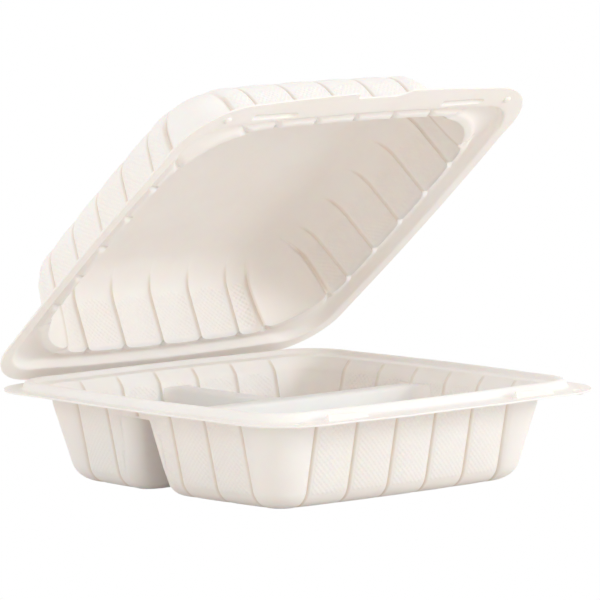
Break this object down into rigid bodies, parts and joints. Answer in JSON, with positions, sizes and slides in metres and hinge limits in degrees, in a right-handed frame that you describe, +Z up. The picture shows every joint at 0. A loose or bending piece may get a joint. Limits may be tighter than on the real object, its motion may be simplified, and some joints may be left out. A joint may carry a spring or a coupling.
{
  "type": "hinged takeaway food container",
  "caption": "Square thin-sheet food container, a fluted tray with hollow tee-shaped dividers and a hinged fluted lid standing half open.",
  "frame": {"origin": "middle of the tray's footprint, on the plane of the tray's floor underside", "axes": "+Z up, +X along the hinge, +Y towards the hinge side, the latch side is at -Y"},
  "size_m": [0.2102, 0.221, 0.1875],
  "materials": {
    "tray_sheet": "matt, slightly translucent off-white moulded sheet with fine embossed panels",
    "lid_sheet": "matt, slightly translucent off-white moulded sheet with fine embossed panels"
  },
  "bodies": {
    "tray": {"base_tray": "tray_sheet"},
    "lid": {"lid": "lid_sheet"}
  },
  "joints": [
    {"name": "lid_hinge", "type": "hinge", "parent": "tray", "child": "lid", "pos_m": [0, 0.1096, 0.04375], "axis": [-1, 0, 0], "range_deg": [-39, 141]}
  ]
}
